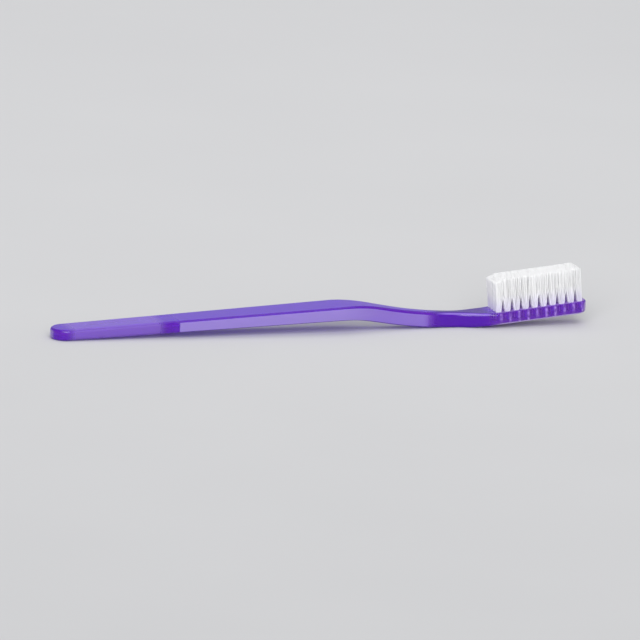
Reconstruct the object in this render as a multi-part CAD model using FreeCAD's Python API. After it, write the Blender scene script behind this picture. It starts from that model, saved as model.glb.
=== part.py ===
"""Manual toothbrush: one clear moulded handle, forty bristle tufts and their flat metal anchors.

Millimetres. +X runs from the tail of the handle to the tip of the head, +Z is up (bristles up), the
brush is symmetric about Y = 0. The brush lies on its back: the tail and the lowest point of the neck
touch Z = 0. The origin is the centre of the bounding box, at its bottom.
"""
import FreeCAD, Part
import math
import os

# --- overall -------------------------------------------------------------------------------------
LENGTH = 180.0            # tail to tip
ORIGIN_X = LENGTH / 2.0   # distance of the origin from the tail
OUTLINE_REACH = 12.0      # how far the outline prisms run past the handle

# --- side view, as (distance from the tail, height, bend radius) at each corner of the outline ----
TOP_CORNERS = [
    (0.0, 3.52, 0.0),      # tail
    (102.0, 9.08, 58.0),   # crest of the thumb bend
    (126.2, 4.90, 154.0),  # hollow of the neck
    (147.5, 4.96, 24.0),   # foot of the head
    (LENGTH, 8.42, 0.0),   # tip
]
BOTTOM_CORNERS = [
    (0.0, 0.0, 0.0),       # tail
    (99.9, 4.38, 48.0),    # under the thumb bend
    (124.2, 0.0, 134.0),   # the neck's descent
    (141.5, 0.0, 25.0),    # the neck's lowest stretch ends
    (148.8, 1.12, 40.0),   # back of the head begins
    (LENGTH, 4.40, 0.0),   # tip
]

# --- top view, as (distance from the tail, half width, bend radius) ------------------------------
TAIL_RADIUS = 5.1          # the tail is a half circle
SIDE_CORNERS = [
    (TAIL_RADIUS, TAIL_RADIUS, 0.0),
    (97.0, 6.35, 26.0),    # the handle starts to narrow
    (108.5, 3.50, 32.0),   # slim part of the handle
    (122.0, 2.35, 120.0),  # neck
    (136.5, 2.20, 20.0),   # neck widens into the head
    (148.6, 5.50, 14.0),   # shoulder of the head
    (LENGTH, 5.50, 3.5),   # rounded corner of the tip
]

# --- flat grip panel that stands proud of both sides ---------------------------------------------
PANEL_INSET = 0.45         # below the top and above the bottom of the handle
PANEL_NECK_INSET = 0.95    # below the top of the neck, where the panel ends
PANEL_EDGE = 0.15          # rounding of its long edges
PANEL_CORNERS = [
    (40.4, 5.20, 0.0),     # buried in the handle
    (41.5, 5.95, 1.0),     # short ramp up to the panel
    (97.3, 6.70, 26.0),
    (108.8, 3.85, 31.0),
    (122.0, 2.80, 70.0),
    (130.5, 2.24, 0.0),    # fades into the neck
]

# --- rounded edges of the handle -----------------------------------------------------------------
HANDLE_EDGE = 1.2

# --- bristle field -------------------------------------------------------------------------------
ROWS = 4
COLUMNS = 10
ROW_PITCH = 2.35           # across the head
COLUMN_PITCH = 3.08        # along the head
LAST_COLUMN_FROM_TIP = 2.6
HOLE_RADIUS = 0.95
HOLE_DEPTH = 2.75
TUFT_CLEARANCE = 0.02      # between a tuft and the wall of its hole
TUFT_TOP_RADIUS = 1.12     # the tuft opens a little towards its trimmed end
TUFT_HEIGHT = 10.8         # above the head
FIRST_COLUMN_DROP = 0.3    # the column next to the handle is trimmed lower
TRIM_ROUNDING = 0.25       # rounding of the trimmed end's rim

# --- anchors -------------------------------------------------------------------------------------
ANCHOR_LENGTH = 2.2        # along the head; longer than the hole is wide, so it bites the plastic
ANCHOR_THICKNESS = 0.25
ANCHOR_HEIGHT = 1.25
ANCHOR_LIFT = 0.45         # above the bottom of the hole: the folded filaments pass under it

HEAD_TILT = math.atan2(TOP_CORNERS[-1][1] - TOP_CORNERS[-2][1], LENGTH - TOP_CORNERS[-2][0])
ALONG_HEAD = FreeCAD.Vector(math.cos(HEAD_TILT), 0, math.sin(HEAD_TILT))
HEAD_NORMAL = FreeCAD.Vector(-math.sin(HEAD_TILT), 0, math.cos(HEAD_TILT))


def side_point(x, z):
    """Point of the side view, given by its distance from the tail and its height."""
    return FreeCAD.Vector(x - ORIGIN_X, 0, z)


def plan_point(x, y):
    """Point of the top view, given by its distance from the tail and its half width."""
    return FreeCAD.Vector(x - ORIGIN_X, y, 0)


def bent_line(points, radii):
    """Edges of a polyline through points, with a tangent arc of the given radius at each corner."""
    edges = []
    start = points[0]
    for before, corner, after, radius in zip(points, points[1:], points[2:], radii[1:]):
        back = (before - corner).normalize()
        ahead = (after - corner).normalize()
        if radius == 0:
            edges.append(Part.LineSegment(start, corner).toShape())
            start = corner
            continue
        half_opening = back.getAngle(ahead) / 2.0
        tangent = radius / math.tan(half_opening)
        middle = (back + ahead).normalize() * (radius / math.sin(half_opening) - radius)
        arc_start = corner + back * tangent
        arc_end = corner + ahead * tangent
        edges.append(Part.LineSegment(start, arc_start).toShape())
        edges.append(Part.Arc(arc_start, corner + middle, arc_end).toShape())
        start = arc_end
    edges.append(Part.LineSegment(start, points[-1]).toShape())
    return edges


def closed_face(edges):
    """Flat face inside a closed chain of edges."""
    return Part.Face(Part.Wire(Part.sortEdges(edges)[0]))


def side_prism(inset, neck_inset):
    """The handle's side view, less an inset at the top and the bottom, swept across its width."""
    top = [side_point(x, z - inset) for x, z, radius in TOP_CORNERS[:2]]
    top += [side_point(x, z - neck_inset) for x, z, radius in TOP_CORNERS[2:]]
    bottom = [side_point(x, z + inset) for x, z, radius in BOTTOM_CORNERS]
    edges = bent_line(top, [radius for x, z, radius in TOP_CORNERS])
    edges += bent_line(bottom, [radius for x, z, radius in BOTTOM_CORNERS])
    edges.append(Part.LineSegment(top[0], bottom[0]).toShape())
    edges.append(Part.LineSegment(top[-1], bottom[-1]).toShape())
    face = closed_face(edges)
    face.translate(FreeCAD.Vector(0, -OUTLINE_REACH, 0))
    return face.extrude(FreeCAD.Vector(0, 2 * OUTLINE_REACH, 0))


def plan_prism(side_corners, round_start):
    """A symmetric top view outline, from one side's corners, swept through the handle's height."""
    near = [plan_point(x, -y) for x, y, radius in side_corners]
    far = [plan_point(x, y) for x, y, radius in side_corners]
    radii = [radius for x, y, radius in side_corners]
    edges = bent_line(near + far[::-1], radii + radii[::-1])
    if round_start:
        edges.append(Part.Arc(near[0], plan_point(0, 0), far[0]).toShape())
    else:
        edges.append(Part.LineSegment(near[0], far[0]).toShape())
    face = closed_face(edges)
    face.translate(FreeCAD.Vector(0, 0, -OUTLINE_REACH))
    return face.extrude(FreeCAD.Vector(0, 0, 3 * OUTLINE_REACH))


def is_side_wall(face):
    """True for a wall of the top view outline, whose normal is level."""
    u_min, u_max, v_min, v_max = face.ParameterRange
    return abs(face.normalAt((u_min + u_max) / 2, (v_min + v_max) / 2).z) < 1e-6


def round_rims(solid, radius):
    """Round the edges between the side walls and the top and bottom of a solid."""
    rims = []
    for edge in solid.Edges:
        walls = [is_side_wall(face) for face in solid.ancestorsOfType(edge, Part.Face)]
        if walls.count(True) == 1 and walls.count(False) == 1:
            rims.append(edge)
    return solid.makeFillet(radius, rims)


def blank():
    """The handle without its tuft holes: a rounded body with the grip panels moulded on."""
    body = side_prism(0, 0).common(plan_prism(SIDE_CORNERS, True)).Solids[0]
    panels = side_prism(PANEL_INSET, PANEL_NECK_INSET).common(plan_prism(PANEL_CORNERS, False)).Solids[0]
    return round_rims(body, HANDLE_EDGE).fuse(round_rims(panels, PANEL_EDGE)).removeSplitter()


def tuft_seat(row, column):
    """Point on the head's top face at the centre of a tuft's hole."""
    from_last = (COLUMNS - 1 - column) * COLUMN_PITCH
    foot_x, foot_z, radius = TOP_CORNERS[-2]
    last_along = (LENGTH - LAST_COLUMN_FROM_TIP - foot_x) / math.cos(HEAD_TILT)
    across = (row - (ROWS - 1) / 2.0) * ROW_PITCH
    return side_point(foot_x, foot_z) + ALONG_HEAD * (last_along - from_last) + FreeCAD.Vector(0, across, 0)


def seat_box(seat, length, width, height, lift):
    """Box centred on a tuft's axis, lying along the head, lift above the bottom of the hole."""
    box = Part.makeBox(length, width, height, FreeCAD.Vector(-length / 2.0, -width / 2.0, 0))
    box.rotate(FreeCAD.Vector(0, 0, 0), FreeCAD.Vector(0, 1, 0), -math.degrees(HEAD_TILT))
    box.translate(seat + HEAD_NORMAL * (lift - HOLE_DEPTH))
    return box


def anchor(seat):
    """Flat metal staple that pins the folded filaments of one tuft into its hole."""
    return seat_box(seat, ANCHOR_LENGTH, ANCHOR_THICKNESS, ANCHOR_HEIGHT, ANCHOR_LIFT)


def tuft_height(column):
    """Height of a tuft above the head."""
    if column == 0:
        return TUFT_HEIGHT - FIRST_COLUMN_DROP
    return TUFT_HEIGHT


def tuft(seat, height):
    """One tuft: straight inside its hole, opening towards the trimmed end, slotted for its anchor."""
    bottom = seat - HEAD_NORMAL * HOLE_DEPTH
    radius = HOLE_RADIUS - TUFT_CLEARANCE
    root = Part.makeCylinder(radius, HOLE_DEPTH, bottom, HEAD_NORMAL)
    brush = Part.makeCone(radius, TUFT_TOP_RADIUS, height, seat, HEAD_NORMAL)
    trimmed_rim = [edge for edge in brush.Edges if abs(edge.Length - math.tau * TUFT_TOP_RADIUS) < 1e-6]
    brush = brush.makeFillet(TRIM_ROUNDING, trimmed_rim)
    return root.fuse(brush).cut(anchor(seat))


def save(shape, node):
    """Write one node."""
    shape.exportStep("parts/" + node + ".step")


def main():
    os.makedirs("parts", exist_ok=True)
    handle = blank()
    holes = []
    for row in range(ROWS):
        anchors = []
        for column in range(COLUMNS):
            seat = tuft_seat(row, column)
            save(tuft(seat, tuft_height(column)), "tuft_row%d_%02d" % (row + 1, column + 1))
            anchors.append(anchor(seat))
            holes.append(Part.makeCylinder(HOLE_RADIUS, HOLE_DEPTH + OUTLINE_REACH,
                                           seat - HEAD_NORMAL * HOLE_DEPTH, HEAD_NORMAL))
        holes += anchors
        save(Part.makeCompound(anchors), "anchors_row%d" % (row + 1))
    save(handle.cut(holes), "handle")


main()
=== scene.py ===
"""Looks of the manual toothbrush: a clear purple handle, forty tufts of nylon and their anchors.

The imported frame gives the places. Lengths are in millimetres until a mesh is made, which is in metres.
Distances along the brush start at the tail; the frame's origin is half the length further on.
"""

import math
import random

import bmesh
import bpy
from mathutils import Matrix, Vector


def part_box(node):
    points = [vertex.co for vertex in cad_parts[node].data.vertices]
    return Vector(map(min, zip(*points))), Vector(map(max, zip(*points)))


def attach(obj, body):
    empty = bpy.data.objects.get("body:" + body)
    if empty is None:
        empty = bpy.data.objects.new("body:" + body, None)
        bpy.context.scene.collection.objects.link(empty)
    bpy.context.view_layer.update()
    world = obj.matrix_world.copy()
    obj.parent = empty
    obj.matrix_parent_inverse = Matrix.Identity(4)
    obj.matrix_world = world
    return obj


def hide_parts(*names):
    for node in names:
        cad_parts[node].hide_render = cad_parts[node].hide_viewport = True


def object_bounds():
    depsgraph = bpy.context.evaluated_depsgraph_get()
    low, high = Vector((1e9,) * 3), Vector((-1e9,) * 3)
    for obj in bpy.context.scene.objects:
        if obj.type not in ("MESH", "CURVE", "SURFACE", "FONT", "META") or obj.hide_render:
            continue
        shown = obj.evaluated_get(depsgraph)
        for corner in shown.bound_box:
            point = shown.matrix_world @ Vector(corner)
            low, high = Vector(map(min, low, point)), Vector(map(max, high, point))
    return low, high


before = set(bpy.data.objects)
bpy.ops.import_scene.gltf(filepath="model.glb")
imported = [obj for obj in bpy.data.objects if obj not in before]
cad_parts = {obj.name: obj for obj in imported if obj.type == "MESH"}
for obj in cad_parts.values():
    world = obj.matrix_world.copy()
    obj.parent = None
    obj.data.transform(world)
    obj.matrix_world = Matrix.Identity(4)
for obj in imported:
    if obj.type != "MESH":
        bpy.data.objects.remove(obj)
cad_low, cad_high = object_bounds()

MM = 0.001

# --- the handle's side view: (distance from the tail, height, bend radius) -------------------------
TAIL, TIP = cad_low.x / MM, cad_high.x / MM
LENGTH = TIP - TAIL
TOP_CORNERS = [
    (0.0, 3.52, 0.0),      # tail
    (102.0, 9.08, 58.0),   # crest of the thumb bend
    (126.2, 4.90, 154.0),  # hollow of the neck
    (147.5, 4.96, 24.0),   # foot of the head
    (LENGTH, 8.42, 0.0),   # tip
]
BOTTOM_CORNERS = [
    (0.0, 0.0, 0.0),       # tail
    (99.9, 4.38, 48.0),    # under the thumb bend
    (124.2, 0.0, 134.0),   # the neck's descent
    (141.5, 0.0, 25.0),    # the neck's lowest stretch ends
    (148.8, 1.12, 40.0),   # back of the head begins
    (LENGTH, 4.40, 0.0),   # tip
]

# --- its top view: (distance from the tail, half width, bend radius) -------------------------------
TAIL_RADIUS = 5.1
TIP_RADIUS = 3.5
HEAD_HALF_WIDTH = 5.5
SIDE_CORNERS = [
    (TAIL_RADIUS, TAIL_RADIUS, 0.0),
    (97.0, 6.35, 26.0),    # the handle starts to narrow
    (108.5, 3.50, 32.0),   # slim part of the handle
    (122.0, 2.35, 120.0),  # neck
    (136.5, 2.20, 20.0),   # neck widens into the head
    (148.6, HEAD_HALF_WIDTH, 14.0),
    (LENGTH, HEAD_HALF_WIDTH, 0.0),
]
PANEL_CORNERS = [
    (40.4, 5.20, 0.0),     # buried in the handle
    (41.5, 5.95, 1.0),     # short ramp up to the panel
    (97.3, 6.70, 26.0),
    (108.8, 3.85, 31.0),
    (122.0, 2.80, 70.0),
    (130.5, 2.24, 0.0),    # fades into the neck
]
PANEL_INSET = 0.45         # below the top and above the bottom of the handle
PANEL_NECK_INSET = 0.95    # below the top of the neck, where the panel ends
PANEL_TOP_CORNERS = [(x, z - PANEL_INSET, radius) for x, z, radius in TOP_CORNERS[:2]]
PANEL_TOP_CORNERS += [(x, z - PANEL_NECK_INSET, radius) for x, z, radius in TOP_CORNERS[2:4]]
PANEL_EDGE = 0.15          # rounding of its long edges

# --- rounding of the handle's long edges: (distance from the tail, radius) -------------------------
EDGE_RADII = [(0.0, 0.75), (7.0, 1.2), (138.0, 1.2), (149.0, 0.85), (LENGTH, 0.85)]

# --- stations along the handle: (end of the stretch, step) -----------------------------------------
STRETCHES = [
    (40.0, 1.0), (42.6, 0.1), (92.0, 1.0), (127.0, 0.5), (131.0, 0.2),
    (152.0, 0.5), (LENGTH - TIP_RADIUS, 0.7),
]
TAIL_STEPS = 28            # round half of the tail
TIP_STEPS = 14             # round each corner of the tip
ACROSS_STEPS = 8           # across the top and the bottom face
ARC_STEPS = 6              # down each part of a rounded edge
WALL_STEPS = 4             # down the side wall
LEDGE_STEPS = (0.08, 0.5, 0.92, 1.0)   # shares of the way out to the panel
PANEL_EDGE_DEPTHS = (0.02, 0.05, 0.09, PANEL_EDGE)
LEDGE_LAYER = "ledge"      # marks the step between the grip panels and the top or bottom face
SUPPORT = 0.08             # a loop this far past each rounding keeps the flat faces flat
SHARP_ANGLE = math.radians(40)
MERGE_DISTANCE = 1e-7      # metres
SLOPE_REACH = 0.05         # to both sides of a station, for the outline's slope there

# --- tufts -----------------------------------------------------------------------------------------
ROWS = 4
COLUMNS = 10
HOLE_RADIUS = 0.95
HOLE_DEPTH = 2.75
HOLE_SIDES = 40
CUTTER_REACH = 2.0         # of a hole's cutter, above the head
ROOT_RADIUS = 0.93         # of a CAD tuft inside its hole
COLUMN_PITCH = 3.08        # along the head
ROW_PITCH = 2.35           # across the head
FILAMENT_RADIUS = 0.098
FILAMENT_SIDES = 6
FILAMENT_STEPS = 10        # from the hole to the trim
FILAMENT_END = ((0.0, 0.0), (0.35, 0.75), (1.0, 1.0))  # (distance from the end, width), in radii
FILAMENT_PITCH = 0.190     # between neighbours in a layer of the bundle
LAYER_PITCH = 0.15
LAYER_MARGIN = 0.6         # filament radii kept free at each end of a layer
BUNDLE_RADIUS = 0.92
FOLD_GAP = 0.23            # the innermost filaments pass the anchor at this distance
FOLD_TOP = 0.95            # the filaments start to bend under the anchor, above the hole's bottom
FOLD_CLEARANCE = 0.03      # between the outermost fold and the hole's bottom
FOLD_NESTING = 0.28        # share of the distance between two folds that shows below the anchor
FOLD_STEPS = 8
LEAN_ALONG = 0.07          # spread of the trimmed ends about their places
LEAN_ACROSS = 0.05
OVERLAP = 0.08             # a trimmed tuft fills its square of the field and reaches this far past it
SIDE_REACH = 1.04          # from a tuft's axis to the outside of the field, across it
END_REACH = {1: 0.68, COLUMNS: 0.56}   # and along it, by column
LOOSENING = 0.28           # share of a tuft's opening that comes right above the head
LOOSE_FROM = 0.07          # share of the free length this takes
OPENING = (0.04, 0.62)     # shares of the free length between which the rest comes
TRIM_SCATTER = 0.06        # up or down
TRIM_MARGIN = 0.20         # the trim stays this far below the top of the CAD tufts
FIELD_HALF_LENGTH = 14.9   # of the bristle field along the head
ENDS_ROUNDED = ((-1, 2.9, 1.0), (1, 1.2, 0.1))  # (end, length, drop) of the trim's rounding


def blend(x, start, end):
    """Smooth step from 0 at start to 1 at end."""
    t = min(max((x - start) / (end - start), 0.0), 1.0)
    return t * t * (3 - 2 * t)


class BentLine:
    """A polyline with a tangent arc at each corner, as a height over the distance from the tail."""

    def __init__(self, corners):
        self.pieces = []
        start = Vector(corners[0][:2])
        for before, corner, after in zip(corners, corners[1:], corners[2:]):
            here, radius = Vector(corner[:2]), corner[2]
            back = (Vector(before[:2]) - here).normalized()
            ahead = (Vector(after[:2]) - here).normalized()
            half_opening = back.angle(ahead) / 2
            tangent = radius / math.tan(half_opening)
            middle = (back + ahead).normalized()
            centre = here + middle * (radius / math.sin(half_opening))
            bend = math.copysign(radius, -middle.y)
            self.pieces.append((here.x + back.x * tangent, start, here, None, 0.0))
            self.pieces.append((here.x + ahead.x * tangent, None, None, centre, bend))
            start = here
        self.pieces.append((math.inf, start, Vector(corners[-1][:2]), None, 0.0))

    def __call__(self, x):
        for end, start, stop, centre, radius in self.pieces:
            if x <= end:
                break
        if centre is None:
            return start.y + (stop.y - start.y) * (x - start.x) / (stop.x - start.x)
        return centre.y + math.copysign(math.sqrt(radius * radius - (x - centre.x) ** 2), radius)


top_height = BentLine(TOP_CORNERS)
bottom_height = BentLine(BOTTOM_CORNERS)
side_width = BentLine(SIDE_CORNERS)
panel_line = BentLine(PANEL_CORNERS)
panel_top = BentLine(PANEL_TOP_CORNERS)


def panel_width(x):
    """Half width over the grip panels, or 0 where there is no panel."""
    if PANEL_CORNERS[0][0] < x < PANEL_CORNERS[-1][0]:
        return panel_line(x)
    return 0.0


def panel_drop(x):
    """Depth of the panels' upper edge below the top face."""
    if x > PANEL_CORNERS[-1][0]:
        return PANEL_INSET
    return max(top_height(x) - panel_top(x), PANEL_INSET)


def edge_radius(x):
    """Rounding of the handle's long edges at a distance from the tail."""
    for (start, before), (end, after) in zip(EDGE_RADII, EDGE_RADII[1:]):
        if x <= end:
            return before + (after - before) * blend(x, start, end)
    return EDGE_RADII[-1][1]


# Points of a half section that count as the ledge: its own, the last three of the handle's arc before
# it, and the first of the panel's rounding after it.
FIRST_LEDGE_LEVEL = ARC_STEPS - 1
LAST_LEDGE_LEVEL = ARC_STEPS + 2 + len(LEDGE_STEPS)


def half_section(x, inset):
    """(inward distance from the side, depth from the flat face) from that face to the side wall."""
    radius = edge_radius(x)
    proud = panel_width(x) - side_width(x)
    split = math.asin(1 - inset / radius)
    points = [(radius + SUPPORT, 0.0)]
    for step in range(ARC_STEPS + 1):
        angle = math.pi / 2 + (split - math.pi / 2) * step / ARC_STEPS
        points.append((radius * (1 - math.cos(angle)), radius * (1 - math.sin(angle))))
    inner = points[-1][0]
    outer = min(inner, PANEL_EDGE - proud)
    for share in LEDGE_STEPS:
        points.append((inner + (outer - inner) * share, inset))
    for depth in PANEL_EDGE_DEPTHS:
        angle = math.asin(1 - (inset + depth) / radius)
        rounding = PANEL_EDGE - math.sqrt(PANEL_EDGE ** 2 - (PANEL_EDGE - depth) ** 2)
        points.append((min(radius * (1 - math.cos(angle)), rounding - proud), inset + depth))
    for step in range(1, ARC_STEPS + 1):
        turned = angle * (1 - step / ARC_STEPS)
        points.append((min(radius * (1 - math.cos(turned)), -proud), radius * (1 - math.sin(turned))))
    points.append((min(0.0, -proud), radius + SUPPORT))
    return points


def half_outline():
    """(x, half width, outward normal) along one side of the top view, from the tail to the tip."""
    outline = []
    for step in range(TAIL_STEPS):
        turn = math.pi / 2 * step / TAIL_STEPS
        normal = (-math.cos(turn), math.sin(turn))
        outline.append((TAIL_RADIUS * (1 + normal[0]), TAIL_RADIUS * normal[1], normal))
    start = TAIL_RADIUS
    for end, step in STRETCHES:
        count = round((end - start) / step)
        for index in range(count):
            x = start + (end - start) * index / count
            slope = (side_width(x + SLOPE_REACH) - side_width(x - SLOPE_REACH)) / (2 * SLOPE_REACH)
            normal = Vector((-slope, 1)).normalized()
            outline.append((x, side_width(x), (normal.x, normal.y)))
        start = end
    for step in range(TIP_STEPS + 1):
        turn = math.pi / 2 * step / TIP_STEPS
        normal = (math.sin(turn), math.cos(turn))
        centre = (LENGTH - TIP_RADIUS, HEAD_HALF_WIDTH - TIP_RADIUS)
        outline.append((centre[0] + TIP_RADIUS * normal[0], centre[1] + TIP_RADIUS * normal[1], normal))
    return outline


def to_frame(x, y, z):
    """A point given by its distance from the tail, in the frame's metres."""
    return Vector(((x + TAIL) * MM, y * MM, z * MM))


def rounded_edge(x, y, normal, inset, face_height, inside):
    """Points from a flat face to the side wall; the handle lies above the face where inside is 1."""
    points = []
    for inward, depth in half_section(x, inset):
        px, py = x - normal[0] * inward, y - normal[1] * inward
        points.append(Vector((px, py, face_height(px) + inside * depth)))
    return points


def ring(x, y, normal):
    """The handle's section through one point of its outline, from the top face to the bottom face."""
    upper = rounded_edge(x, y, normal, panel_drop(x), top_height, -1)
    lower = rounded_edge(x, y, normal, PANEL_INSET, bottom_height, 1)
    wall = [upper[-1].lerp(lower[-1], step / WALL_STEPS) for step in range(1, WALL_STEPS)]
    return [to_frame(*point) for point in upper + wall + lower[::-1]]


def fill_flat(mesh, loops, level, side_count):
    """Faces of the top (level 0) or the bottom (level -1), between the loops of the two sides."""
    rows = []
    for index in range(1, side_count):
        start, end = loops[index][level], loops[-index][level]
        if index == side_count - 1:
            between = [loop[level] for loop in loops[side_count:side_count + ACROSS_STEPS - 1]]
        else:
            shares = [step / ACROSS_STEPS for step in range(1, ACROSS_STEPS)]
            between = [mesh.verts.new(start.co.lerp(end.co, share)) for share in shares]
        rows.append([start] + between + [end])
    for row, following in zip(rows, rows[1:]):
        for step in range(ACROSS_STEPS):
            mesh.faces.new((row[step], row[step + 1], following[step + 1], following[step]))
    for step in range(ACROSS_STEPS):
        mesh.faces.new((loops[0][level], rows[0][step + 1], rows[0][step]))


def handle_mesh():
    """Closed mesh of the handle without its tuft holes."""
    near = [(x, -y, (nx, -ny)) for x, y, (nx, ny) in half_outline()]
    far = [(x, -y, (nx, -ny)) for x, y, (nx, ny) in near]
    tip_x, tip_y = near[-1][:2]
    tip = [(tip_x, tip_y * (1 - 2 * step / ACROSS_STEPS), (1.0, 0.0)) for step in range(1, ACROSS_STEPS)]
    rings = [ring(*point) for point in near + tip + far[:0:-1]]
    mesh = bmesh.new()
    ledge = mesh.verts.layers.float.new(LEDGE_LAYER)
    loops = [[mesh.verts.new(point) for point in points] for points in rings]
    for loop in loops:
        for level in range(FIRST_LEDGE_LEVEL, LAST_LEDGE_LEVEL + 1):
            loop[level][ledge] = 1.0
            loop[-1 - level][ledge] = 1.0
    for this, following in zip(loops, loops[1:] + loops[:1]):
        for level in range(len(this) - 1):
            mesh.faces.new((this[level], this[level + 1], following[level + 1], following[level]))
    for level in (0, -1):
        fill_flat(mesh, loops, level, len(near))
    bmesh.ops.remove_doubles(mesh, verts=mesh.verts, dist=MERGE_DISTANCE)
    bmesh.ops.recalc_face_normals(mesh, faces=mesh.faces)
    return mesh


def new_object(name, mesh, material):
    """Object made from a bmesh, smooth except at sharp edges."""
    data = bpy.data.meshes.new(name)
    mesh.to_mesh(data)
    mesh.free()
    data.shade_smooth()
    data.set_sharp_from_angle(angle=SHARP_ANGLE)
    data.materials.append(material)
    made = bpy.data.objects.new(name, data)
    bpy.context.scene.collection.objects.link(made)
    return made


# --- the head, read from the frame -----------------------------------------------------------------
def head_axes():
    """Unit vectors along the head and away from its face, from the line of one row of tufts."""
    low_a, high_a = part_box("tuft_row1_02")
    low_b, high_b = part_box("tuft_row1_%02d" % COLUMNS)
    along = Vector((high_b.x - high_a.x, 0, low_b.z - low_a.z)).normalized()
    return along, Vector((-along.z, 0, along.x))


ALONG, NORMAL = head_axes()


def tuft_root(row, column):
    """Centre of the bottom of a tuft's hole."""
    low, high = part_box("tuft_row%d_%02d" % (row, column))
    reach = ROOT_RADIUS * MM
    return Vector((high.x - reach * ALONG.x, (low.y + high.y) / 2, low.z + reach * ALONG.z))


FIELD_CENTRE = (tuft_root(1, 1) + tuft_root(ROWS, COLUMNS)) / 2


def cut_holes(handle):
    """Cut the forty blind tuft holes into the handle's mesh."""
    cutter_mesh = bmesh.new()
    tilt = NORMAL.to_track_quat("Z", "X").to_matrix().to_4x4()
    depth = (HOLE_DEPTH + CUTTER_REACH) * MM
    for row in range(1, ROWS + 1):
        for column in range(1, COLUMNS + 1):
            middle = tuft_root(row, column) + NORMAL * (depth / 2)
            bmesh.ops.create_cone(
                cutter_mesh, cap_ends=True, segments=HOLE_SIDES, radius1=HOLE_RADIUS * MM,
                radius2=HOLE_RADIUS * MM, depth=depth, matrix=Matrix.Translation(middle) @ tilt)
    data = bpy.data.meshes.new("hole_cutter")
    cutter_mesh.to_mesh(data)
    cutter_mesh.free()
    cutter = bpy.data.objects.new("hole_cutter", data)
    bpy.context.scene.collection.objects.link(cutter)
    modifier = handle.modifiers.new("holes", "BOOLEAN")
    modifier.operation = "DIFFERENCE"
    modifier.solver = "EXACT"
    modifier.object = cutter
    graph = bpy.context.evaluated_depsgraph_get()
    cut = bpy.data.meshes.new_from_object(handle.evaluated_get(graph))
    handle.modifiers.clear()
    bpy.data.objects.remove(cutter)
    material = handle.data.materials[0]
    handle.data = cut
    cut.materials.clear()
    cut.materials.append(material)
    cut.shade_smooth()
    cut.set_sharp_from_angle(angle=SHARP_ANGLE)


# --- filaments -------------------------------------------------------------------------------------
def bundle_places():
    """(along, across, share along its layer, share across the layers) of a hole's folded filaments."""
    layers = []
    for layer in range(int((BUNDLE_RADIUS - FOLD_GAP) / LAYER_PITCH) + 1):
        across = FOLD_GAP + layer * LAYER_PITCH
        half = math.sqrt(BUNDLE_RADIUS ** 2 - across ** 2) - FILAMENT_RADIUS * LAYER_MARGIN
        if half > 0:
            layers.append((across, int(2 * half / FILAMENT_PITCH)))
    widest = layers[-1][0]
    places = []
    for across, gaps in layers:
        for index in range(gaps + 1):
            share = 2 * index / gaps - 1
            places.append((share * gaps / 2 * FILAMENT_PITCH, across, share, across / widest))
    return places


def end_drop(place):
    """How much lower the trim lies at a place along the field, which is rounded off at both ends."""
    drop = 0.0
    for end, length, depth in ENDS_ROUNDED:
        past = max(end * place - (FIELD_HALF_LENGTH - length), 0.0) / length
        drop += depth * past ** 2
    return drop


def filament_line(draw, place, height, row, column, column_place):
    """Centre line of one folded filament, as (along, across, up) points in millimetres."""
    along, across, share_along, share_across = place
    outer_along = (column == 1 and along < 0) or (column == COLUMNS and along > 0)
    half_along = END_REACH[column] if outer_along else COLUMN_PITCH / 2 + OVERLAP
    sides = []
    for side in (1, -1):
        lean_along = draw.gauss(0, LEAN_ALONG)
        lean_across = draw.gauss(0, LEAN_ACROSS)
        outer_across = (row == 1 and side < 0) or (row == ROWS and side > 0)
        half_across = SIDE_REACH if outer_across else ROW_PITCH / 2 + OVERLAP
        end_along = share_along * half_along + lean_along
        end_across = side * (share_across * half_across - FOLD_GAP / 2) + lean_across
        tip = height + draw.uniform(-TRIM_SCATTER, TRIM_SCATTER) - end_drop(column_place + end_along)
        line = []
        for step in range(FILAMENT_STEPS + 1):
            up = FOLD_TOP + (tip - FOLD_TOP) * step / FILAMENT_STEPS
            free = max(up - HOLE_DEPTH, 0.0) / (tip - HOLE_DEPTH)
            opened = LOOSENING * min(free / LOOSE_FROM, 1.0) + (1 - LOOSENING) * blend(free, *OPENING)
            line.append((
                along + (end_along - along) * opened,
                side * across + (end_across - side * across) * opened,
                up,
            ))
        sides.append(line)
    lowest = FILAMENT_RADIUS + FOLD_CLEARANCE + (BUNDLE_RADIUS - across) * FOLD_NESTING
    fold = []
    for step in range(1, FOLD_STEPS):
        turn = math.pi * step / FOLD_STEPS
        fold.append((along, across * math.cos(turn), FOLD_TOP - (FOLD_TOP - lowest) * math.sin(turn)))
    return sides[0][::-1] + fold + sides[1]


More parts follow.
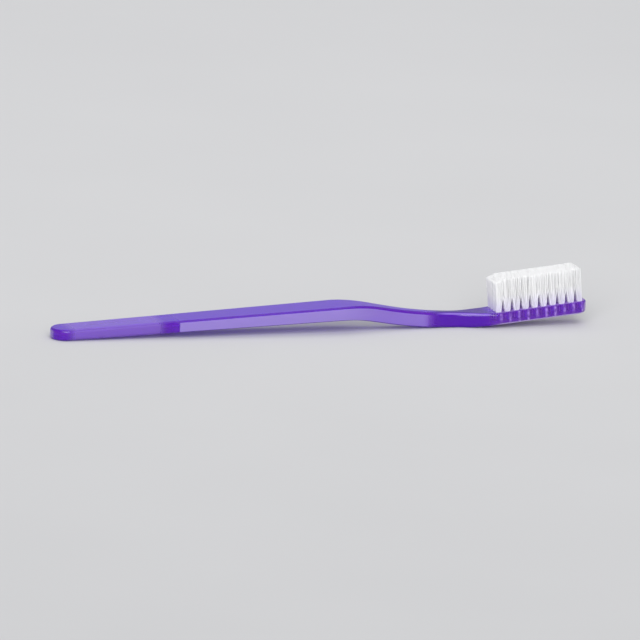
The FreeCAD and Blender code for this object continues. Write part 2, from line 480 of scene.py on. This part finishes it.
def add_filament(mesh, line, root):
    """Add a tube with two rounded ends along a line."""
    centres = []
    for along, across, up in line:
        centres.append(root + (ALONG * along + Vector((0, across, 0)) + NORMAL * up) * MM)
    radius = FILAMENT_RADIUS * MM
    rings = []
    count = len(centres)
    for index, centre in enumerate(centres):
        direction = (centres[min(index + 1, count - 1)] - centres[max(index - 1, 0)]).normalized()
        first = direction.cross(ALONG).normalized()
        second = direction.cross(first)
        if index == 0:
            sections = [(-(1 - inside) * radius, size) for inside, size in FILAMENT_END]
        elif index == count - 1:
            sections = [((1 - inside) * radius, size) for inside, size in reversed(FILAMENT_END)]
        else:
            sections = [(0.0, 1.0)]
        for shift, size in sections:
            middle = centre + direction * shift
            if size == 0.0:
                rings.append([mesh.verts.new(middle)])
                continue
            points = []
            for side in range(FILAMENT_SIDES):
                turn = math.tau * side / FILAMENT_SIDES
                offset = first * math.cos(turn) + second * math.sin(turn)
                points.append(mesh.verts.new(middle + offset * (radius * size)))
            rings.append(points)
    for this, following in zip(rings, rings[1:]):
        for side in range(FILAMENT_SIDES):
            after = (side + 1) % FILAMENT_SIDES
            if len(this) == 1:
                mesh.faces.new((this[0], following[after], following[side]))
            elif len(following) == 1:
                mesh.faces.new((this[side], this[after], following[0]))
            else:
                mesh.faces.new((this[side], this[after], following[after], following[side]))


def make_tuft(row, column, material):
    """One tuft of folded filaments, in place of its plain CAD solid."""
    node = "tuft_row%d_%02d" % (row, column)
    root = tuft_root(row, column)
    low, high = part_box(node)
    column_place = (root - FIELD_CENTRE).dot(ALONG) / MM
    height = (high.z - root.z) / NORMAL.z / MM - TRIM_MARGIN
    draw = random.Random(100 * row + column)
    mesh = bmesh.new()
    for place in bundle_places():
        line = filament_line(draw, place, height, row, column, column_place)
        add_filament(mesh, line, root)
    bmesh.ops.recalc_face_normals(mesh, faces=mesh.faces)
    tuft = new_object("bristles_row%d_%02d" % (row, column), mesh, material)
    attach(tuft, "root")
    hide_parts(node)


# --- materials: where the plastic's looks begin and end --------------------------------------------
# A zone is (start, full, fading, end) and a fade is (none, full), as distances from the tail.
TAIL_ZONE = (3.4, 7.0, 34.0, 37.6)         # matte tail
PANEL_ZONE = (41.1, 41.5, 124.6, 129.2)    # matte grip
NECK_SHADE_ZONE = (126.0, 132.0, 145.0, 149.0)   # neck painted deeper purple: painted shade
# Painted highlight along the neck's upper edges.
NECK_HIGHLIGHT_ZONE = (127.0, 134.0, 146.0, 148.5)
PAST_TAIL = (38.0, 41.0)
SLIM_GRIP = (96.0, 114.0)
# Where the head's painted light begins.
HEAD_PAINTED_LIGHT_FADE = (138.0, 149.0)
HEAD_HAZE = (142.0, 150.0)
# Where the head's painted highlights begin.
HEAD = (148.0, 150.0)
# Where the rims get painted highlights: the tail's end, the tip and under the head.
TAIL_RIM = (2.0, 1.0)
TIP_RIM = (176.0, 177.5)
HEAD_RIM = (147.0, 151.0)

# The same by a component of the surface's normal.
SIDEWAYS = (0.50, 0.85)
LEVEL = (0.93, 0.99)
# UPWARDS: the top faces, which get painted light and more haze.
UPWARDS = (0.90, 0.98)
TOP_OR_BOTTOM = (0.60, 0.95)
# UPPER_EDGE: the neck's upper edges, where its highlight is painted.
UPPER_EDGE = (0.35, 0.60, 0.82, 0.93)
# LOWER_EDGE, TAILWARDS and TIPWARDS: faces of the rims that get painted highlights.
LOWER_EDGE = (-0.15, -0.60)
TAILWARDS = (-0.90, -1.01)
TIPWARDS = (0.45, 0.80)

# Shares of the matte texture, of the light that stays near the surface, and of the rims' painted
# highlight.
LEVEL_MATTE = 0.7
TAIL_MATTE = 0.70
TAIL_EDGE_MATTE = 0.85                     # on the tail's edges, of what its sides have
TAIL_HAZE_SHARE, HEAD_HAZE_SHARE = 0.5, 0.3
TOP_HAZE_SHARE = 0.9
TAIL_RIM_SHARE = 0.7
CLEAREST, HAZE_LOSS = 0.87, -0.42          # transmission without haze, and what full haze adds

# Painted highlights: pale streaks in the head's sides, by the walls of the tuft holes.
STREAK_SHIFT = 0.3                         # past the centres of the holes, towards the tip
STREAK_WIDTH = (0.24, 0.05)                # (none, full) in column pitches from a streak's middle
STREAK_PATCHES = (0.35, 0.65, 0.35, 1.0)   # noise (from, to), strength (from, to)
STREAK_PATCH_SCALE = 700.0

# Texture of the plastic. A scale is in patches per metre, a bump's distance in metres.
FLOW_STRETCH = (30.0, 240.0, 240.0)        # long faint waves left by the moulding
FLOW_ROUGHNESS = 0.06
FLOW_BUMP = 0.00012
GRAIN_SCALE = 5200.0
GRAIN_BUMP = 0.00003
POLISHED_ROUGHNESS, MATTE_ROUGHNESS = 0.09, 0.26   # without the waves, and what full matte adds
PLASTIC_IOR = 1.5
PLASTIC_SPECULAR = 0.3

POLISHED_HANDLE = (0.20, 0.012, 0.67, 1.0)
# Painted light: the head is painted lighter, for the light that passes its thin walls.
POLISHED_HEAD_PAINTED_LIGHT = (0.26, 0.03, 0.80, 1.0)
# Painted light: the polished top faces take another shade than the sides, for how light falls on them
# from above.
POLISHED_TOP_PAINTED_LIGHT = (0.21, 0.05, 0.89, 1.0)
# Painted shade: the neck is painted a deeper purple.
NECK_PAINTED_SHADE = (0.10, 0.0, 0.48, 1.0)
# Painted highlight: the pale streaks in the head's sides and the head's top faces.
STREAK_PAINTED_HIGHLIGHT = (0.54, 0.32, 0.95, 1.0)
# Painted highlight along the neck's upper edges.
NECK_PAINTED_HIGHLIGHT = (0.36, 0.21, 0.88, 1.0)
# Painted highlight on the rims of the tail, the tip and under the head.
RIM_PAINTED_HIGHLIGHT = (0.72, 0.58, 1.0, 1.0)
# Matte colours: partly the texture, partly painted light. The tops differ from the sides by painted light
# alone.
MATTE_TAIL_SIDE = (0.36, 0.22, 0.74, 1.0)
MATTE_TAIL_TOP_PAINTED_LIGHT = (0.49, 0.32, 1.0, 1.0)
MATTE_PANEL = (0.41, 0.30, 0.76, 1.0)
MATTE_SLIM_PANEL = (0.33, 0.21, 0.71, 1.0)
MATTE_GRIP_TOP_PAINTED_LIGHT = (0.29, 0.145, 0.90, 1.0)
PLASTIC_TINT = (0.55, 0.15, 0.90, 1.0)     # of the light that has passed through
PLASTIC_DENSITY = 110.0

# --- materials: nylon and metal --------------------------------------------------------------------
WHITE_FROM = 6.0                           # height above the head where the filaments are all white; below it, painted lilac light from the head
# Where the inner tufts get painted purple light from the head.
PURPLE_LIGHT_ROWS = (2.9, 2.4)                   # (none, full) distance from the brush's middle plane
PURPLE_LIGHT_COLUMNS = (0.8, 1.6)                # (none, full) distance past the first column's centre
PURPLE_LIGHT_HEIGHT = 3.5                        # above the head
# Painted light: lilac low down, white higher up.
NYLON_LOW_PAINTED_LIGHT = ((0.74, 0.70, 0.93, 1.0), (0.86, 0.82, 1.0, 1.0))
NYLON_HIGH = ((0.93, 0.93, 0.94, 1.0), (0.99, 0.99, 0.99, 1.0))
# Painted purple light from the head.
NYLON_PAINTED_PURPLE_LIGHT = (0.64, 0.47, 1.0, 1.0)
NYLON_GRAIN_STRETCH = (1.0, 1.0, 0.02)     # drawn out along the filaments
NYLON_GRAIN_SCALE = 6000.0
NYLON_ROUGHNESS = (0.3, 0.7, 0.28, 0.42)   # noise (from, to), roughness (from, to)
NYLON_IOR = 1.53
NYLON_SCATTER = 0.8                        # share of the light that enters a filament
NYLON_SCATTER_REACH = 0.0004               # metres it travels there
METAL = ((0.62, 0.59, 0.53, 1.0), (0.80, 0.77, 0.70, 1.0))
METAL_STRETCH = (600.0, 9000.0, 9000.0)    # brushed along the strip
METAL_DETAIL = 4.0
METAL_ROUGHNESS = (0.2, 0.8, 0.22, 0.40)
METAL_BUMP = 0.00001
FLOOR = ((0.62, 0.62, 0.625, 1.0), (0.65, 0.65, 0.655, 1.0))
FLOOR_CLOUD_SCALE = 9.0
FLOOR_ROUGHNESS = 0.9
FLOOR_SPECULAR = 0.1


class Nodes:
    """A material's node tree, with short calls for the nodes this script uses."""

    def __init__(self, name):
        self.material = bpy.data.materials.new(name)
        self.material.use_nodes = True
        self.tree = self.material.node_tree
        self.shader = self.tree.nodes["Principled BSDF"]
        self.output = self.tree.nodes["Material Output"]
        self.place = self.add("ShaderNodeTexCoord").outputs["Object"]

    def add(self, kind, **settings):
        node = self.tree.nodes.new(kind)
        for setting, value in settings.items():
            setattr(node, setting, value)
        return node

    def feed(self, value, socket):
        """Set a socket to a number, or link it to another socket."""
        if isinstance(value, bpy.types.NodeSocket):
            self.tree.links.new(value, socket)
        else:
            socket.default_value = value

    def set(self, **values):
        """Set or link sockets of the shader, named with _ for each space."""
        for name, value in values.items():
            self.feed(value, self.shader.inputs[name.replace("_", " ")])

    def split(self, vector):
        """The three components of a vector."""
        node = self.add("ShaderNodeSeparateXYZ")
        self.feed(vector, node.inputs[0])
        return node.outputs

    def dot(self, vector, direction):
        """Component of a vector along a fixed direction."""
        node = self.add("ShaderNodeVectorMath", operation="DOT_PRODUCT")
        self.feed(vector, node.inputs[0])
        node.inputs[1].default_value = direction
        return node.outputs["Value"]

    def math(self, operation, *values):
        node = self.add("ShaderNodeMath", operation=operation)
        for value, socket in zip(values, node.inputs):
            self.feed(value, socket)
        return node.outputs[0]

    def product(self, first, second):
        return self.math("MULTIPLY", first, second)

    def largest(self, *values):
        value = values[0]
        for following in values[1:]:
            value = self.math("MAXIMUM", value, following)
        return value

    def ramp(self, value, start, end, low=0.0, high=1.0):
        """Smooth step of a value."""
        node = self.add("ShaderNodeMapRange", interpolation_type="SMOOTHSTEP")
        for entry, socket in zip((value, start, end, low, high), node.inputs):
            self.feed(entry, socket)
        return node.outputs[0]

    def zone(self, value, limits):
        """1 inside a zone given as (start, full, fading, end), and 0 outside."""
        start, full, fading, end = limits
        return self.product(self.ramp(value, start, full), self.ramp(value, end, fading))

    def noise(self, coordinates, scale, detail=2.0):
        node = self.add("ShaderNodeTexNoise")
        self.feed(coordinates, node.inputs["Vector"])
        node.inputs["Scale"].default_value = scale
        node.inputs["Detail"].default_value = detail
        return node.outputs["Fac"]

    def stretch(self, coordinates, factors):
        node = self.add("ShaderNodeMapping")
        self.feed(coordinates, node.inputs["Vector"])
        node.inputs["Scale"].default_value = factors
        return node.outputs[0]

    def mix_colour(self, share, first, second):
        node = self.add("ShaderNodeMix", data_type="RGBA")
        self.feed(share, node.inputs[0])
        self.feed(first, node.inputs[6])
        self.feed(second, node.inputs[7])
        return node.outputs[2]

    def bump(self, height, distance, normal=None):
        node = self.add("ShaderNodeBump")
        self.feed(height, node.inputs["Height"])
        node.inputs["Distance"].default_value = distance
        if normal is not None:
            self.feed(normal, node.inputs["Normal"])
        return node.outputs[0]


def matte_share(nodes, along, side, upright):
    """Where the plastic is textured: the grip panels with their top and bottom faces, and the tail."""
    ledge = nodes.add("ShaderNodeAttribute", attribute_name=LEDGE_LAYER).outputs["Fac"]
    ledge = nodes.product(ledge, nodes.ramp(along, *PANEL_ZONE[:2]))
    level = nodes.ramp(upright, *LEVEL, 0.0, LEVEL_MATTE)
    flats = nodes.product(nodes.math("ADD", side, level), nodes.math("SUBTRACT", 1.0, ledge))
    tail = nodes.product(nodes.largest(side, TAIL_EDGE_MATTE), TAIL_MATTE)
    grip = nodes.product(nodes.zone(along, PANEL_ZONE), flats)
    return nodes.math("ADD", nodes.product(nodes.zone(along, TAIL_ZONE), tail), grip)


def painted_hole_highlights(nodes, along, side):
    """Painted highlights: pale upright streaks on the sides of the head, for the light the wall of each
    tuft hole gathers.
    """
    first = (tuft_root(1, 1).dot(ALONG) / MM + STREAK_SHIFT) / COLUMN_PITCH
    reach = nodes.dot(nodes.place, ALONG)
    pitches = nodes.math("MULTIPLY_ADD", reach, 1 / (COLUMN_PITCH * MM), 0.5 - first)
    off_middle = nodes.math("ABSOLUTE", nodes.math("SUBTRACT", nodes.math("FRACT", pitches), 0.5))
    patches = nodes.ramp(nodes.noise(nodes.place, STREAK_PATCH_SCALE), *STREAK_PATCHES)
    streaks = nodes.product(nodes.ramp(off_middle, *STREAK_WIDTH), patches)
    return nodes.product(streaks, nodes.product(nodes.ramp(along, *HEAD), side))


def rim_highlight_share(nodes, along, facing):
    """Painted highlights on the rounded edges that gather light: under the head, round the tip and in the
    middle of the tail.
    """
    head = nodes.product(nodes.ramp(along, *HEAD_RIM), nodes.ramp(facing[2], *LOWER_EDGE))
    tail = nodes.ramp(facing[0], *TAILWARDS, 0.0, TAIL_RIM_SHARE)
    tail = nodes.product(nodes.ramp(along, *TAIL_RIM), tail)
    tip = nodes.product(nodes.ramp(along, *TIP_RIM), nodes.ramp(facing[0], *TIPWARDS))
    return nodes.largest(head, tail, tip)


def matte_colour_with_painted_light(nodes, along, upright):
    """Matte colour of the sides and tops of the tail and of the grip: partly its texture, partly painted
    light.
    """
    past_tail = nodes.ramp(along, *PAST_TAIL)
    panels = nodes.mix_colour(nodes.ramp(along, *SLIM_GRIP), MATTE_PANEL, MATTE_SLIM_PANEL)
    sides = nodes.mix_colour(past_tail, MATTE_TAIL_SIDE, panels)
    # Painted light: the tops take other shades than the sides.
    tops = nodes.mix_colour(past_tail, MATTE_TAIL_TOP_PAINTED_LIGHT, MATTE_GRIP_TOP_PAINTED_LIGHT)
    return nodes.mix_colour(nodes.ramp(upright, *TOP_OR_BOTTOM), sides, tops)


def clear_plastic():
    """Purple see-through plastic: polished, with a matte texture on the grip panels and the tail, and
    painted light in its colour.
    """
    nodes = Nodes("clear_purple_plastic")
    along = nodes.math("MULTIPLY_ADD", nodes.split(nodes.place)[0], 1 / MM, -TAIL)
    facing = nodes.split(nodes.add("ShaderNodeNewGeometry").outputs["Normal"])
    side = nodes.ramp(nodes.math("ABSOLUTE", facing[1]), *SIDEWAYS)
    upright = nodes.math("ABSOLUTE", facing[2])
    upwards = nodes.ramp(facing[2], *UPWARDS)
    matte = matte_share(nodes, along, side, upright)
    # Painted shade on the neck.
    neck = nodes.zone(along, NECK_SHADE_ZONE)
    # Painted highlight along the neck's upper edges.
    neck_highlight = nodes.product(nodes.zone(along, NECK_HIGHLIGHT_ZONE), nodes.zone(facing[2], UPPER_EDGE))
    # Painted highlight on the head's top faces and by its tuft holes.
    head_top_highlight = nodes.product(nodes.ramp(along, *HEAD), upwards)
    pale_highlight = nodes.largest(head_top_highlight, painted_hole_highlights(nodes, along, side))
    # Painted highlights on the rims.
    rim_highlights = rim_highlight_share(nodes, along, facing)

    # Painted light: the head lighter than the handle.
    polished = nodes.mix_colour(nodes.ramp(along, *HEAD_PAINTED_LIGHT_FADE), POLISHED_HANDLE, POLISHED_HEAD_PAINTED_LIGHT)
    # Painted light on the polished plastic: other shades on the top faces, shade on the neck, highlights
    # on the head, along the neck's upper edges and on the rims.
    for share, colour in (
            (upwards, POLISHED_TOP_PAINTED_LIGHT), (neck, NECK_PAINTED_SHADE), (pale_highlight, STREAK_PAINTED_HIGHLIGHT),
            (neck_highlight, NECK_PAINTED_HIGHLIGHT), (rim_highlights, RIM_PAINTED_HIGHLIGHT)):
        polished = nodes.mix_colour(share, polished, colour)
    textured = matte_colour_with_painted_light(nodes, along, upright)

    haze = nodes.ramp(along, *HEAD_HAZE, TAIL_HAZE_SHARE, HEAD_HAZE_SHARE)
    haze = nodes.largest(matte, haze, neck, pale_highlight, rim_highlights, nodes.product(upwards, TOP_HAZE_SHARE))
    flow = nodes.noise(nodes.stretch(nodes.place, FLOW_STRETCH), 1.0)
    grain = nodes.product(nodes.noise(nodes.place, GRAIN_SCALE), matte)
    roughness = nodes.math("MULTIPLY_ADD", matte, MATTE_ROUGHNESS, POLISHED_ROUGHNESS)
    nodes.set(
        Base_Color=nodes.mix_colour(matte, polished, textured),
        Transmission_Weight=nodes.math("MULTIPLY_ADD", haze, HAZE_LOSS, CLEAREST),
        Roughness=nodes.math("MULTIPLY_ADD", flow, FLOW_ROUGHNESS, roughness),
        Normal=nodes.bump(flow, FLOW_BUMP, nodes.bump(grain, GRAIN_BUMP)),
        IOR=PLASTIC_IOR,
        Specular_IOR_Level=PLASTIC_SPECULAR)
    volume = nodes.add("ShaderNodeVolumeAbsorption")
    volume.inputs["Color"].default_value = PLASTIC_TINT
    volume.inputs["Density"].default_value = PLASTIC_DENSITY
    nodes.feed(volume.outputs[0], nodes.output.inputs["Volume"])
    return nodes.material


def nylon():
    """Translucent white nylon with painted light from the purple head: lilac towards the head, purple
    between the inner tufts.
    """
    nodes = Nodes("white_nylon")
    parts = nodes.split(nodes.place)
    up = nodes.dot(nodes.place, NORMAL)
    face = NORMAL.dot(tuft_root(1, 2)) + HOLE_DEPTH * MM
    fibre = nodes.noise(nodes.stretch(nodes.place, NYLON_GRAIN_STRETCH), NYLON_GRAIN_SCALE)
    # Painted light: lilac near the head.
    low = nodes.mix_colour(fibre, *NYLON_LOW_PAINTED_LIGHT)
    high = nodes.mix_colour(fibre, *NYLON_HIGH)
    colour = nodes.mix_colour(nodes.ramp(up, face, face + WHITE_FROM * MM), low, high)
    rows = nodes.ramp(nodes.math("ABSOLUTE", parts[1]), *[place * MM for place in PURPLE_LIGHT_ROWS])
    columns = nodes.ramp(parts[0], *[tuft_root(1, 1).x + place * MM for place in PURPLE_LIGHT_COLUMNS])
    # Painted purple light between the inner tufts near the head.
    purple_light = nodes.product(nodes.product(rows, columns), nodes.ramp(up, face + PURPLE_LIGHT_HEIGHT * MM, face))
    nodes.set(
        Base_Color=nodes.mix_colour(purple_light, colour, NYLON_PAINTED_PURPLE_LIGHT),
        Roughness=nodes.ramp(fibre, *NYLON_ROUGHNESS),
        IOR=NYLON_IOR,
        Subsurface_Weight=NYLON_SCATTER,
        Subsurface_Radius=(1.0, 1.0, 1.0),
        Subsurface_Scale=NYLON_SCATTER_REACH)
    return nodes.material


def nickel_silver():
    """Brushed nickel silver."""
    nodes = Nodes("nickel_silver")
    grain = nodes.noise(nodes.stretch(nodes.place, METAL_STRETCH), 1.0, METAL_DETAIL)
    nodes.set(
        Base_Color=nodes.mix_colour(grain, *METAL),
        Roughness=nodes.ramp(grain, *METAL_ROUGHNESS),
        Normal=nodes.bump(grain, METAL_BUMP),
        Metallic=1.0)
    return nodes.material


def pale_floor():
    """Matte floor with faint clouds."""
    nodes = Nodes("pale_floor")
    nodes.set(
        Base_Color=nodes.mix_colour(nodes.noise(nodes.place, FLOOR_CLOUD_SCALE), *FLOOR),
        Roughness=FLOOR_ROUGHNESS,
        Specular_IOR_Level=FLOOR_SPECULAR)
    return nodes.material


# --- stage -----------------------------------------------------------------------------------------
VIEW_WIDTH = 0.2047        # metres across the picture at the brush
TURN = math.radians(19.7)  # the camera stands this far towards the tail
RISE = math.radians(12.92)  # and this far above the floor
ROLL = math.radians(2.845)
CENTRE_RIGHT = 0.0006876   # the picture's centre lies right of and above the frame's origin, in metres
CENTRE_UP = 0.0033642
CAMERA_DISTANCE = 5.0
SENSOR_WIDTH = 36.0
FLOOR_HALF_SIZE = 4.0
STUDIO_COLOUR = (0.96, 0.97, 1.0, 1.0)
STUDIO_STRENGTH = 0.45
KEY_LIGHT = ((-0.28, -0.80, 0.53), "SUN", 2.8, 50.0)       # (where from, kind, strength, softness)
OVERHEAD_LIGHT = ((0.10, 0.15, 0.90), "AREA", 1.6, 0.8)


def add_camera():
    """A distant camera with a long lens, so that the brush is seen almost without perspective."""
    data = bpy.data.cameras.new("camera")
    data.sensor_width = SENSOR_WIDTH
    data.lens = SENSOR_WIDTH * CAMERA_DISTANCE / VIEW_WIDTH
    data.clip_end = 4 * CAMERA_DISTANCE
    camera = bpy.data.objects.new("camera", data)
    towards = Vector((-math.sin(TURN) * math.cos(RISE), -math.cos(TURN) * math.cos(RISE), math.sin(RISE)))
    turned = (-towards).to_track_quat("-Z", "Y") @ Matrix.Rotation(ROLL, 3, "Z").to_quaternion()
    right, up = turned @ Vector((1, 0, 0)), turned @ Vector((0, 1, 0))
    camera.rotation_mode = "QUATERNION"
    camera.rotation_quaternion = turned
    camera.location = towards * CAMERA_DISTANCE + right * CENTRE_RIGHT + up * CENTRE_UP
    bpy.context.scene.collection.objects.link(camera)
    bpy.context.scene.camera = camera


def add_light(name, towards, kind, strength, softness):
    """A soft light from a direction: a sun with an angle in degrees, or a square of a size in metres."""
    data = bpy.data.lights.new(name, kind)
    data.energy = strength
    if kind == "SUN":
        data.angle = math.radians(softness)
    else:
        data.size = softness
    light = bpy.data.objects.new(name, data)
    light.location = towards
    light.rotation_mode = "QUATERNION"
    light.rotation_quaternion = (-Vector(towards)).to_track_quat("-Z", "Y")
    light.visible_camera = False
    bpy.context.scene.collection.objects.link(light)


def add_stage():
    """The pale floor and the soft studio light."""
    mesh = bmesh.new()
    bmesh.ops.create_grid(mesh, x_segments=2, y_segments=2, size=FLOOR_HALF_SIZE)
    floor = new_object("floor", mesh, pale_floor())
    world = bpy.data.worlds.new("studio")
    world.use_nodes = True
    background = world.node_tree.nodes["Background"]
    background.inputs["Color"].default_value = STUDIO_COLOUR
    background.inputs["Strength"].default_value = STUDIO_STRENGTH
    bpy.context.scene.world = world
    add_light("key", *KEY_LIGHT)
    add_light("overhead", *OVERHEAD_LIGHT)
    bpy.context.scene.view_settings.view_transform = "Standard"


def main():
    """Set the stage, replace the handle and the tufts, and give the CAD anchors their metal."""
    add_camera()
    add_stage()
    handle = new_object("moulded_handle", handle_mesh(), clear_plastic())
    cut_holes(handle)
    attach(handle, "root")
    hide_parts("handle")
    filament_material = nylon()
    for row in range(1, ROWS + 1):
        for column in range(1, COLUMNS + 1):
            make_tuft(row, column, filament_material)
    metal = nickel_silver()
    for row in range(1, ROWS + 1):
        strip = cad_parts["anchors_row%d" % row]
        strip.data.materials.clear()
        strip.data.materials.append(metal)


main()
